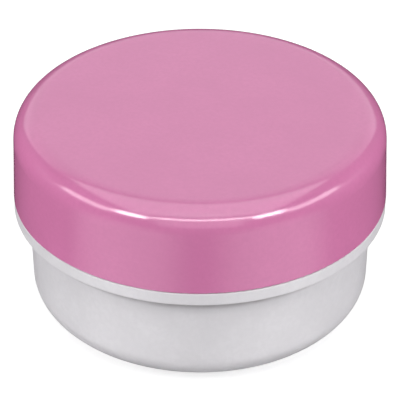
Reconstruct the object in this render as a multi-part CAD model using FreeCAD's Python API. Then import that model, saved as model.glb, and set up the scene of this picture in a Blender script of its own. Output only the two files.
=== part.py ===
import FreeCAD
import Part

import math
import os

# A small lidded dappen dish: a moulded cup with a rounded well, a screw lid and the lid's sealing liner.
# Units are millimetres. Z is up, and the origin is the centre of the foot, on the surface it stands on.

# Outside sizes
LID_RADIUS = 20.0  # at the skirt's lower edge, the widest place
LID_TOP_RADIUS = 19.76  # where the drafted skirt would meet the top
LID_HEIGHT = 9.6
LID_TOP_THICKNESS = 1.3
LID_CORNER_IN = 2.65  # how far the top corner's rounding reaches inwards
LID_CORNER_DOWN = 2.65  # and down the skirt
FLANGE_RADIUS = 19.97
FLANGE_THICKNESS = 1.45
BODY_HEIGHT = 12.45  # from the foot to the underside of the flange
BODY_TOP_RADIUS = 18.4
BODY_FOOT_RADIUS = 18.0  # where the drafted wall would meet the ground
BODY_CORNER_IN = 6.7
BODY_CORNER_UP = 4.3
LID_GAP = 0.06  # between the closed lid's skirt and the flange

# Underside
FOOT_LAND = 1.3  # width of the ring that the dish stands on
RECESS_DEPTH = 0.7
RECESS_SLOPE = 0.5
GATE_RADIUS = 1.1
GATE_HEIGHT = 0.35

# Neck and well
NECK_RADIUS = 17.35
WELL_RADIUS = 16.0  # at the rim
WELL_DRAFT = 0.25  # how much narrower the straight wall is at its lower end
WELL_FLOOR = 2.4  # height of the well's lowest point above the ground
BOWL_HEIGHT = 7.2
BOWL_REACH = 11.0  # how far the bowl's curve reaches in from the wall

# Inside of the lid
BORE_RADIUS = 18.6
SEAT_RADIUS = 18.3  # the pocket that holds the liner
LINER_RADIUS = 18.0
LINER_THICKNESS = 1.0
LINER_PLAY = 0.02  # above and below the liner
RETAINER_RADIUS = 17.8  # crest of the ring that keeps the liner in its pocket
RETAINER_HALF_HEIGHT = 0.35
RETAINER_DROP = 0.5  # from the liner's underside to the middle of the ring

# Thread, single start and right-handed
LEAD = 3.0
THREAD_TURNS = 1.25
THREAD_DEPTH = 0.85
THREAD_ROOT_HALF = 0.65  # half of a bead's height where it leaves its wall
THREAD_CREST_HALF = 0.27
THREAD_CROWN = 0.07  # how far the crest bulges
THREAD_EMBED = 0.3  # how deep a bead is sunk into its wall
THREAD_FADE = 40.0  # degrees over which each end of a bead rises
THREAD_BURIED = -0.16  # height of the bead's very end, below its wall
NECK_THREAD_START = 1.15  # from the flange's top to the middle of the bead's first section
LID_THREAD_START = 0.95  # from the skirt's lower edge to the middle of the bead's first section
FLANK_OFFSET = 0.86  # height of the neck's bead over the lid's bead when the lid is tight
SECTION_STEP = 15.0  # degrees between the sections of a bead

# Small roundings
EDGE_ROUND = 0.2
SEAM_ROUND = 0.12  # the edges that meet where the lid sits on the flange
INNER_ROUND = 0.3
RIM_ROUND = 0.4

# Levels worked out from the sizes above
FLANGE_TOP = BODY_HEIGHT + FLANGE_THICKNESS
SKIRT_BOTTOM = FLANGE_TOP + LID_GAP
LID_TOP = SKIRT_BOTTOM + LID_HEIGHT
CEILING = LID_TOP - LID_TOP_THICKNESS
LINER_BOTTOM = CEILING - LINER_PLAY - LINER_THICKNESS
RIM = LINER_BOTTOM - LINER_PLAY
RETAINER_MIDDLE = LINER_BOTTOM - RETAINER_DROP
FOOT_RADIUS = BODY_FOOT_RADIUS - BODY_CORNER_IN


def vector(r, z, angle=0.0):
    """A point at radius r and height z, in the half-plane turned by angle degrees about Z."""
    turn = math.radians(angle)
    return FreeCAD.Vector(r * math.cos(turn), r * math.sin(turn), z)


def rounding(start, corner, end):
    """A conic arc from start to end that is tangent there to the lines through corner."""
    before = (corner - start).normalize()
    after = (end - corner).normalize()
    weight = math.cos(before.getAngle(after) / 2)
    if abs(start.distanceToPoint(corner) - end.distanceToPoint(corner)) < 1e-9:
        middle = (start + end) * 0.5
        crest = (middle + corner * weight) * (1 / (1 + weight))
        return Part.Arc(start, crest, end).toShape()
    curve = Part.BezierCurve()
    curve.setPoles([start, corner, end])
    curve.setWeight(2, weight)
    return curve.toShape()


def half_section(corners):
    """A face in the XZ plane. Each corner is (r, z), or (r, z, before, after): the lengths rounded off."""
    points = [vector(c[0], c[1]) for c in corners]
    cuts = [(c[2], c[3]) if len(c) == 4 else (0.0, 0.0) for c in corners]
    edges = []
    entries = []
    exits = []
    for i, point in enumerate(points):
        before = point - points[i - 1]
        after = points[(i + 1) % len(points)] - point
        entries.append(point - before.normalize() * cuts[i][0])
        exits.append(point + after.normalize() * cuts[i][1])
    for i, point in enumerate(points):
        if cuts[i][0] > 0:
            edges.append(rounding(entries[i], point, exits[i]))
        following = entries[(i + 1) % len(points)]
        if exits[i].distanceToPoint(following) > 1e-7:
            edges.append(Part.LineSegment(exits[i], following).toShape())
    return Part.Face(Part.Wire(edges))


def revolved(corners):
    """The solid swept by a half-section once around Z."""
    return half_section(corners).revolve(FreeCAD.Vector(0, 0, 0), FreeCAD.Vector(0, 0, 1), 360)


def bead_section(wall, outward, rise, middle, angle):
    """One cross-section of a thread bead that rises from a wall of that radius. outward is 1 or -1."""
    slope = (THREAD_ROOT_HALF - THREAD_CREST_HALF) / THREAD_DEPTH
    root = wall - outward * THREAD_EMBED
    crest = wall + outward * rise
    root_half = THREAD_ROOT_HALF + slope * THREAD_EMBED
    crest_half = THREAD_ROOT_HALF - slope * rise
    low_root = vector(root, middle - root_half, angle)
    low_crest = vector(crest, middle - crest_half, angle)
    crown = vector(crest + outward * THREAD_CROWN, middle, angle)
    high_crest = vector(crest, middle + crest_half, angle)
    high_root = vector(root, middle + root_half, angle)
    return Part.Wire(
        [
            Part.LineSegment(low_root, low_crest).toShape(),
            Part.Arc(low_crest, crown, high_crest).toShape(),
            Part.LineSegment(high_crest, high_root).toShape(),
            Part.LineSegment(high_root, low_root).toShape(),
        ]
    )


def thread_bead(wall, outward, start_height, start_angle):
    """A helical bead that fades into its wall at both ends."""
    sweep = 360.0 * THREAD_TURNS
    count = int(round(sweep / SECTION_STEP))
    sections = []
    for i in range(count + 1):
        along = sweep * i / count
        from_end = min(along, sweep - along)
        share = min(1.0, from_end / THREAD_FADE)
        eased = share * share * (3 - 2 * share)
        rise = THREAD_BURIED + (THREAD_DEPTH - THREAD_BURIED) * eased
        middle = start_height + LEAD * along / 360.0
        sections.append(bead_section(wall, outward, rise, middle, start_angle + along))
    return Part.makeLoft(sections, True, False)


def dish_body():
    """The cup: foot, rounded wall, flange, threaded neck and the well inside."""
    well_wall_foot = WELL_FLOOR + BOWL_HEIGHT
    well_wall_slope = WELL_DRAFT / (RIM - well_wall_foot)
    well_corner_radius = WELL_RADIUS - WELL_DRAFT - well_wall_slope * BOWL_HEIGHT
    recess_radius = FOOT_RADIUS - FOOT_LAND - RECESS_SLOPE
    cup = revolved(
        [
            (0, RECESS_DEPTH - GATE_HEIGHT),
            (GATE_RADIUS, RECESS_DEPTH - GATE_HEIGHT, 0.1, 0.1),
            (GATE_RADIUS, RECESS_DEPTH, 0.15, 0.15),
            (recess_radius, RECESS_DEPTH, INNER_ROUND, INNER_ROUND),
            (recess_radius + RECESS_SLOPE, 0, 0.2, 0.2),
            (BODY_FOOT_RADIUS, 0, BODY_CORNER_IN, BODY_CORNER_UP),
            (BODY_TOP_RADIUS, BODY_HEIGHT, INNER_ROUND, INNER_ROUND),
            (FLANGE_RADIUS, BODY_HEIGHT, EDGE_ROUND, EDGE_ROUND),
            (FLANGE_RADIUS, FLANGE_TOP, SEAM_ROUND, SEAM_ROUND),
            (NECK_RADIUS, FLANGE_TOP, INNER_ROUND, INNER_ROUND),
            (NECK_RADIUS, RIM, RIM_ROUND, RIM_ROUND),
            (WELL_RADIUS, RIM, RIM_ROUND, RIM_ROUND),
            (well_corner_radius, WELL_FLOOR, BOWL_HEIGHT, BOWL_REACH),
            (0, WELL_FLOOR),
        ]
    )
    bead = thread_bead(NECK_RADIUS, 1, FLANGE_TOP + NECK_THREAD_START, 0.0)
    return cup.fuse(bead)


def lid_thread_angle():
    """Where the lid's bead starts, so that it lies FLANK_OFFSET under the neck's bead when tight."""
    neck_start = FLANGE_TOP + NECK_THREAD_START
    lid_start = SKIRT_BOTTOM + LID_THREAD_START
    return 360.0 * (lid_start - (neck_start - FLANK_OFFSET)) / LEAD


def lid_shell():
    """The cap: top, skirt, liner pocket with its retaining ring, and the inner thread."""
    shell = revolved(
        [
            (0, CEILING),
            (SEAT_RADIUS, CEILING, INNER_ROUND, INNER_ROUND),
            (SEAT_RADIUS, RETAINER_MIDDLE + RETAINER_HALF_HEIGHT, 0.08, 0.08),
            (RETAINER_RADIUS, RETAINER_MIDDLE, 0.12, 0.12),
            (BORE_RADIUS, RETAINER_MIDDLE - RETAINER_HALF_HEIGHT, 0.1, 0.1),
            (BORE_RADIUS, SKIRT_BOTTOM, INNER_ROUND, INNER_ROUND),
            (LID_RADIUS, SKIRT_BOTTOM, SEAM_ROUND, SEAM_ROUND),
            (LID_TOP_RADIUS, LID_TOP, LID_CORNER_DOWN, LID_CORNER_IN),
            (0, LID_TOP),
        ]
    )
    bead = thread_bead(BORE_RADIUS, -1, SKIRT_BOTTOM + LID_THREAD_START, lid_thread_angle())
    return shell.fuse(bead)


def lid_liner():
    """The sealing disc, held in the lid's pocket and pressed on the rim of the neck."""
    top = LINER_BOTTOM + LINER_THICKNESS
    return revolved(
        [
            (0, LINER_BOTTOM),
            (LINER_RADIUS, LINER_BOTTOM, 0.1, 0.1),
            (LINER_RADIUS, top, 0.1, 0.1),
            (0, top),
        ]
    )


def main():
    os.makedirs("parts", exist_ok=True)
    parts = {
        "dish_body": dish_body(),
        "lid_shell": lid_shell(),
        "lid_liner": lid_liner(),
    }
    for name, shape in parts.items():
        solid = shape.Solids[0]
        box = solid.BoundBox
        print(
            f"{name}: {len(shape.Solids)} solid, valid {solid.isValid()}, volume {solid.Volume:.1f} mm3, "
            f"z {box.ZMin:.3f} to {box.ZMax:.3f}, width {box.XLength:.3f}"
        )
        solid.exportStep(f"parts/{name}.step")


main()
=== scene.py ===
import math

import bpy
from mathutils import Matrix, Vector

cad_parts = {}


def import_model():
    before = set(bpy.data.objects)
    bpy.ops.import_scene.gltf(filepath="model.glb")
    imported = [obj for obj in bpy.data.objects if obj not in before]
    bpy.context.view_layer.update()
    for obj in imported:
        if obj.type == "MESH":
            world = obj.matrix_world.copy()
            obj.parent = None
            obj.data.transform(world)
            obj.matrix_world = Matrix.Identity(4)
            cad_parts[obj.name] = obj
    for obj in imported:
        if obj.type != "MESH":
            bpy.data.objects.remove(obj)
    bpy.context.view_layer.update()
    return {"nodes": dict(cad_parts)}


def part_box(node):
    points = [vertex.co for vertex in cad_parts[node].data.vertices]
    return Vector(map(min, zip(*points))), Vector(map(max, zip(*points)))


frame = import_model()

MM = 0.001

# Camera: the dish seen from the front and well above, through a long lens
CAMERA_ELEVATION = 32.85
CAMERA_LENS = 267.1
CAMERA_DISTANCE = 320 * MM
CAMERA_SENSOR = 36
CAMERA_NEAREST = 10 * MM
AIM_BELOW_SEAM = 1.49 * MM

# Lights, all at the same distance: name, azimuth, elevation (degrees), width, height (mm), power (W).
# Azimuth 0 is the camera's side. The lamps light the dish, and only its gloss sees the cards.
LIGHT_DISTANCE = 900 * MM
LAMPS = (
    ("left_lamp", -44, 37, 400, 250, 1.95),
    ("right_lamp", 44, 37, 400, 250, 1.95),
    ("top_lamp", 0, 60, 500, 400, 3.2),
    ("left_side_lamp", -98, 15, 500, 300, 3.7),
    ("right_side_lamp", 98, 15, 500, 300, 3.7),
    ("left_back_lamp", -150, 15, 500, 300, 1.8),
    ("right_back_lamp", 150, 15, 500, 300, 1.8),
)
CARDS = (
    ("left_card", -43, 32, 270, 190, 3.9),
    ("right_card", 43, 32, 270, 190, 3.9),
    ("left_side_card", -73, 26, 520, 200, 2.2),
    ("right_side_card", 73, 26, 520, 200, 2.2),
    ("front_strip", 0, 41, 780, 120, 3.4),
    ("front_card", 0, 21, 800, 460, 1.8),
    ("top_card", 0, 85, 1300, 1100, 13.0),
    ("back_card", 180, 36, 1400, 700, 3.9),
)

# Even light from the sky, the pale wall behind the table, and the lamps' glow off it, for gloss alone
SKY_LOW = -0.15
SKY_HIGH = 0.35
SKY_STRENGTH = 0.15
BACKDROP = 0.9
GLOW_AZIMUTH = 46
GLOW_ELEVATION = -36
GLOW_EDGE = 0.8
GLOW_STRENGTH = 1.5

FLOOR_SIZE = 3.0
FLOOR_GLOW = 0.29
FLOOR_WHITE = 0.34

# Colours
PINK = (0.566, 0.175, 0.352)
WHITE = (0.655, 0.638, 0.665)
CREAM = (0.80, 0.78, 0.72)
WORN_PINK = (0.70, 0.36, 0.52)
SCRATCHED_PINK = (0.70, 0.40, 0.55)
# Grey painted on the wall under the flange as the flange's shadow
PAINTED_SHADOW_GREY = (0.27, 0.245, 0.26)
RUBBED_WHITE = (0.52, 0.50, 0.50)
AGED_CREAM = (0.74, 0.70, 0.62)
PRESSED_CREAM = (0.62, 0.60, 0.56)
TABLE = (0.5, 0.5, 0.5)

# Levels and radii, mm. The flange's underside, the wall under it, and the rim that presses on the liner
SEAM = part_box("lid_shell")[0].z / MM
LID_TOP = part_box("lid_shell")[1].z / MM
LID_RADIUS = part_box("lid_shell")[1].x / MM
FLANGE_FOOT = SEAM - 1.51
WALL_RADIUS = LID_RADIUS - 1.6
RIM_MIDDLE = LID_RADIUS - 3.33
RIM_HALF = 0.7


def direction(azimuth, elevation):
    """Unit vector from the dish. Azimuth 0 is the camera's side, and it grows to the right. Degrees."""
    azimuth = math.radians(azimuth)
    elevation = math.radians(elevation)
    return Vector(
        (
            math.sin(azimuth) * math.cos(elevation),
            -math.cos(azimuth) * math.cos(elevation),
            math.sin(elevation),
        )
    )


class Nodes:
    """A node tree, with short calls that add a node and give back its output."""

    def __init__(self, tree):
        self.tree = tree

    def add(self, kind, **settings):
        node = self.tree.nodes.new(kind)
        for key, value in settings.items():
            setattr(node, key, value)
        return node

    def feed(self, socket, value):
        if isinstance(value, bpy.types.NodeSocket):
            self.tree.links.new(value, socket)
        elif isinstance(value, tuple) and len(value) == 3 and len(socket.default_value) == 4:
            socket.default_value = (*value, 1)
        else:
            socket.default_value = value

    def math(self, operation, first, second=0.0):
        node = self.add("ShaderNodeMath", operation=operation)
        self.feed(node.inputs[0], first)
        self.feed(node.inputs[1], second)
        return node.outputs[0]

    def ramp(self, value, start, end, low=0.0, high=1.0):
        """Eases from low to high as value goes from start to end."""
        node = self.add("ShaderNodeMapRange", interpolation_type="SMOOTHSTEP")
        self.feed(node.inputs["Value"], value)
        for name, number in (("From Min", start), ("From Max", end), ("To Min", low), ("To Max", high)):
            node.inputs[name].default_value = number
        return node.outputs[0]

    def near(self, value, middle, half):
        """1 where value is at middle, easing to 0 at half on either side."""
        away = self.math("ABSOLUTE", self.math("SUBTRACT", value, middle))
        return self.ramp(away, 0, half, 1, 0)

    def noise(self, place, scale, detail=2.0, roughness=0.5):
        node = self.add("ShaderNodeTexNoise")
        self.feed(node.inputs["Vector"], place)
        node.inputs["Scale"].default_value = scale
        node.inputs["Detail"].default_value = detail
        node.inputs["Roughness"].default_value = roughness
        return node.outputs[0]

    def mix(self, share, first, second):
        node = self.add("ShaderNodeMix", data_type="RGBA")
        self.feed(node.inputs["Factor"], share)
        self.feed(node.inputs[6], first)
        self.feed(node.inputs[7], second)
        return node.outputs[2]

    def bump(self, height, depth, under=None):
        """Bump whose height runs 0 to 1 over depth mm."""
        node = self.add("ShaderNodeBump")
        node.inputs["Strength"].default_value = 1
        node.inputs["Distance"].default_value = depth * MM
        self.feed(node.inputs["Height"], height)
        if under is not None:
            self.feed(node.inputs["Normal"], under)
        return node.outputs[0]

    def place(self):
        """The point in millimetres, in the dish's own frame."""
        coordinates = self.add("ShaderNodeTexCoord")
        node = self.add("ShaderNodeVectorMath", operation="SCALE")
        self.feed(node.inputs[0], coordinates.outputs["Object"])
        node.inputs["Scale"].default_value = 1 / MM
        return node.outputs[0]

    def split(self, vector):
        node = self.add("ShaderNodeSeparateXYZ")
        self.feed(node.inputs[0], vector)
        return node.outputs

    def radius(self, place):
        x, y, _ = self.split(place)
        return self.math("SQRT", self.math("ADD", self.math("MULTIPLY", x, x), self.math("MULTIPLY", y, y)))

    def hairlines(self, place, across, spacing, width):
        """Fine scratches that all run one way, broken into short lengths. across is the way over them."""
        along = self.add("ShaderNodeVectorMath", operation="DOT_PRODUCT")
        self.feed(along.inputs[0], place)
        along.inputs[1].default_value = across
        drift = self.math("MULTIPLY", self.noise(place, 0.05, 1), 0.9)
        cells = self.add("ShaderNodeTexVoronoi", voronoi_dimensions="1D", feature="DISTANCE_TO_EDGE")
        self.feed(cells.inputs["W"], self.math("ADD", along.outputs["Value"], drift))
        cells.inputs["Scale"].default_value = 1 / spacing
        lines = self.ramp(cells.outputs["Distance"], 0, width / spacing, 1, 0)
        patches = self.ramp(self.noise(place, 0.3, 2), 0.5, 0.66)
        return self.math("MULTIPLY", lines, patches)


def material(name):
    made = bpy.data.materials.new(name)
    made.use_nodes = True
    nodes = Nodes(made.node_tree)
    return made, nodes, made.node_tree.nodes["Principled BSDF"].inputs


def shade(colour, share):
    return tuple(share * channel for channel in colour)


def pink_plastic():
    """Polished pink polypropylene: faint clouding, orange peel, smudges, hairline scratches, worn edges."""
    made, n, shader = material("pink_plastic")
    place = n.place()
    height = n.split(place)[2]
    clouds = n.noise(place, 0.13, 3, 0.55)
    specks = n.noise(place, 2.2, 2, 0.6)
    colour = n.mix(n.ramp(clouds, 0.3, 0.7), shade(PINK, 0.975), shade(PINK, 1.02))
    colour = n.mix(n.ramp(specks, 0.25, 0.75, 0, 0.5), colour, shade(PINK, 0.93))
    edge = n.near(height, SEAM, 0.28)
    worn = n.math("MULTIPLY", edge, n.ramp(n.noise(place, 0.9, 3, 0.6), 0.42, 0.62, 0, 0.5))
    colour = n.mix(worn, colour, WORN_PINK)
    handled = n.hairlines(place, (0.41, 0.91, 0), 1.1, 0.04)
    handled = n.math("MAXIMUM", handled, n.hairlines(place, (0.78, -0.63, 0), 1.4, 0.04))
    handled = n.math("MULTIPLY", handled, n.ramp(height, LID_TOP - 0.5, LID_TOP - 0.1))
    turned = n.hairlines(place, (0, 0, 1), 0.8, 0.05)
    turned = n.math("MULTIPLY", turned, n.ramp(height, LID_TOP - 1.6, LID_TOP - 2.6))
    scratches = n.math("MAXIMUM", handled, turned)
    smudges = n.ramp(n.noise(place, 0.24, 2, 0.6), 0.3, 0.7, 0.14, 0.16)
    scuffed = n.math("MAXIMUM", scratches, worn)
    n.feed(shader["Base Color"], n.mix(n.math("MULTIPLY", scratches, 0.05), colour, SCRATCHED_PINK))
    n.feed(shader["Roughness"], n.math("ADD", smudges, n.math("MULTIPLY", scuffed, 0.07)))
    peel = n.bump(n.noise(place, 0.7, 2, 0.4), 0.0014)
    n.feed(shader["Normal"], n.bump(n.math("SUBTRACT", 1, scratches), 0.0006, peel))
    return made


def white_plastic():
    """Satin white polypropylene: milky mottling, fine spark texture, a painted shadow under the flange, a
    scuffed foot.
    """
    made, n, shader = material("white_plastic")
    place = n.place()
    radius = n.radius(place)
    height = n.split(place)[2]
    clouds = n.noise(place, 0.22, 3, 0.55)
    specks = n.noise(place, 1.7, 3, 0.6)
    colour = n.mix(n.ramp(clouds, 0.3, 0.7), shade(WHITE, 0.97), shade(WHITE, 1.03))
    colour = n.mix(n.ramp(specks, 0.3, 0.7, 0, 0.5), colour, shade(WHITE, 0.93))
    # Painted shadow: the wall just under the flange is greyed, with a little noise, where the flange's
    # shadow falls
    crease = n.ramp(height, FLANGE_FOOT - 1.7, FLANGE_FOOT - 0.95)
    crease = n.math("MULTIPLY", crease, n.near(radius, WALL_RADIUS, 0.9))
    painted_shadow = n.math("MULTIPLY", crease, n.ramp(n.noise(place, 0.5, 2, 0.6), 0.25, 0.75, 0.5, 0.7))
    painted_shadow = n.math("MULTIPLY", painted_shadow, n.ramp(height, FLANGE_FOOT + 0.1, FLANGE_FOOT - 0.1))
    colour = n.mix(painted_shadow, colour, PAINTED_SHADOW_GREY)
    foot = n.ramp(height, 0.9, 0.05, 0, 1)
    rubbed = n.math("MULTIPLY", foot, n.ramp(n.noise(place, 1.1, 3, 0.65), 0.4, 0.65, 0.15, 0.7))
    n.feed(shader["Base Color"], n.mix(rubbed, colour, RUBBED_WHITE))
    scratches = n.hairlines(place, (0, 0, 1), 0.9, 0.05)
    satin = n.ramp(n.noise(place, 0.3, 2, 0.6), 0.35, 0.65, 0.30, 0.37)
    satin = n.math("ADD", satin, n.math("MULTIPLY", n.math("MAXIMUM", rubbed, painted_shadow), 0.3))
    n.feed(shader["Roughness"], n.math("ADD", satin, n.math("MULTIPLY", scratches, 0.08)))
    grain = n.bump(n.noise(place, 4.0, 2, 0.6), 0.004)
    n.feed(shader["Normal"], n.bump(n.math("SUBTRACT", 1, scratches), 0.001, grain))
    return made


def foam():
    """Closed-cell foam: small cells, and the ring that the dish's rim has pressed into it."""
    made, n, shader = material("foam")
    place = n.place()
    radius = n.radius(place)
    cells = n.add("ShaderNodeTexVoronoi", feature="DISTANCE_TO_EDGE")
    n.feed(cells.inputs["Vector"], place)
    cells.inputs["Scale"].default_value = 3.2
    walls = n.ramp(cells.outputs["Distance"], 0.0, 0.22)
    pressed = n.near(radius, RIM_MIDDLE, RIM_HALF)
    colour = n.mix(walls, shade(CREAM, 0.86), CREAM)
    colour = n.mix(n.ramp(n.noise(place, 0.35, 3, 0.6), 0.35, 0.7, 0, 0.4), colour, AGED_CREAM)
    n.feed(shader["Base Color"], n.mix(n.math("MULTIPLY", pressed, 0.35), colour, PRESSED_CREAM))
    n.feed(shader["Roughness"], n.ramp(n.noise(place, 1.2, 2), 0.3, 0.7, 0.72, 0.88))
    ring = n.bump(n.math("SUBTRACT", 1, pressed), 0.12)
    n.feed(shader["Normal"], n.bump(walls, 0.04, ring))
    return made


def dress(node, look):
    piece = frame["nodes"][node]
    piece.data.materials.clear()
    piece.data.materials.append(look)


def floor():
    """A plain pale table, a little brighter to the camera than the light that it throws on the dish."""
    half = FLOOR_SIZE / 2
    mesh = bpy.data.meshes.new("floor")
    corners = [(-half, -half, 0), (half, -half, 0), (half, half, 0), (-half, half, 0)]
    mesh.from_pydata(corners, [], [(0, 1, 2, 3)])
    piece = bpy.data.objects.new("floor", mesh)
    bpy.context.scene.collection.objects.link(piece)
    made, n, shader = material("floor")
    n.feed(shader["Base Color"], TABLE)
    n.feed(shader["Roughness"], 1.0)
    n.feed(shader["Emission Color"], (1.0, 1.0, 1.0))
    seen = n.add("ShaderNodeLightPath").outputs["Is Camera Ray"]
    n.feed(shader["Emission Strength"], n.math("ADD", n.math("MULTIPLY", seen, FLOOR_WHITE), FLOOR_GLOW))
    mesh.materials.append(made)
    piece.visible_glossy = False


def light(name, azimuth, elevation, width, height, power, for_gloss):
    data = bpy.data.lights.new(name, "AREA")
    data.shape = "RECTANGLE"
    data.size = width * MM
    data.size_y = height * MM
    data.energy = power
    piece = bpy.data.objects.new(name, data)
    towards = direction(azimuth, elevation)
    piece.location = towards * LIGHT_DISTANCE
    piece.rotation_mode = "QUATERNION"
    piece.rotation_quaternion = towards.to_track_quat("Z", "Y")
    piece.visible_camera = False
    piece.visible_diffuse = not for_gloss
    piece.visible_glossy = for_gloss
    bpy.context.scene.collection.objects.link(piece)


def world():
    made = bpy.data.worlds.new("studio")
    made.use_nodes = True
    n = Nodes(made.node_tree)
    background = made.node_tree.nodes["Background"].inputs
    background["Color"].default_value = (1, 1, 1, 1)
    x, y, z = n.split(n.add("ShaderNodeTexCoord").outputs["Generated"])
    sky = n.ramp(z, SKY_LOW, SKY_HIGH, 0, SKY_STRENGTH)
    towards = direction(GLOW_AZIMUTH, GLOW_ELEVATION)
    cosine = n.math("MULTIPLY", n.math("ABSOLUTE", x), towards.x)
    cosine = n.math("ADD", cosine, n.math("MULTIPLY", y, towards.y))
    cosine = n.math("ADD", cosine, n.math("MULTIPLY", z, towards.z))
    glow = n.ramp(cosine, GLOW_EDGE, 1, 0, GLOW_STRENGTH)
    seen = n.add("ShaderNodeLightPath").outputs["Is Camera Ray"]
    backdrop = n.math("MULTIPLY", seen, BACKDROP)
    n.feed(background["Strength"], n.math("ADD", n.math("ADD", sky, glow), backdrop))
    bpy.context.scene.world = made


def camera():
    aim = Vector((0, 0, SEAM * MM - AIM_BELOW_SEAM))
    data = bpy.data.cameras.new("camera")
    data.lens = CAMERA_LENS
    data.sensor_width = CAMERA_SENSOR
    data.clip_start = CAMERA_NEAREST
    piece = bpy.data.objects.new("camera", data)
    back = direction(0, CAMERA_ELEVATION)
    piece.location = aim + back * CAMERA_DISTANCE
    piece.rotation_mode = "QUATERNION"
    piece.rotation_quaternion = back.to_track_quat("Z", "Y")
    bpy.context.scene.collection.objects.link(piece)
    bpy.context.scene.camera = piece


dress("lid_shell", pink_plastic())
dress("dish_body", white_plastic())
dress("lid_liner", foam())
floor()
for row in LAMPS:
    light(*row, False)
for row in CARDS:
    light(*row, True)
world()
camera()
bpy.context.scene.view_settings.view_transform = "Standard"
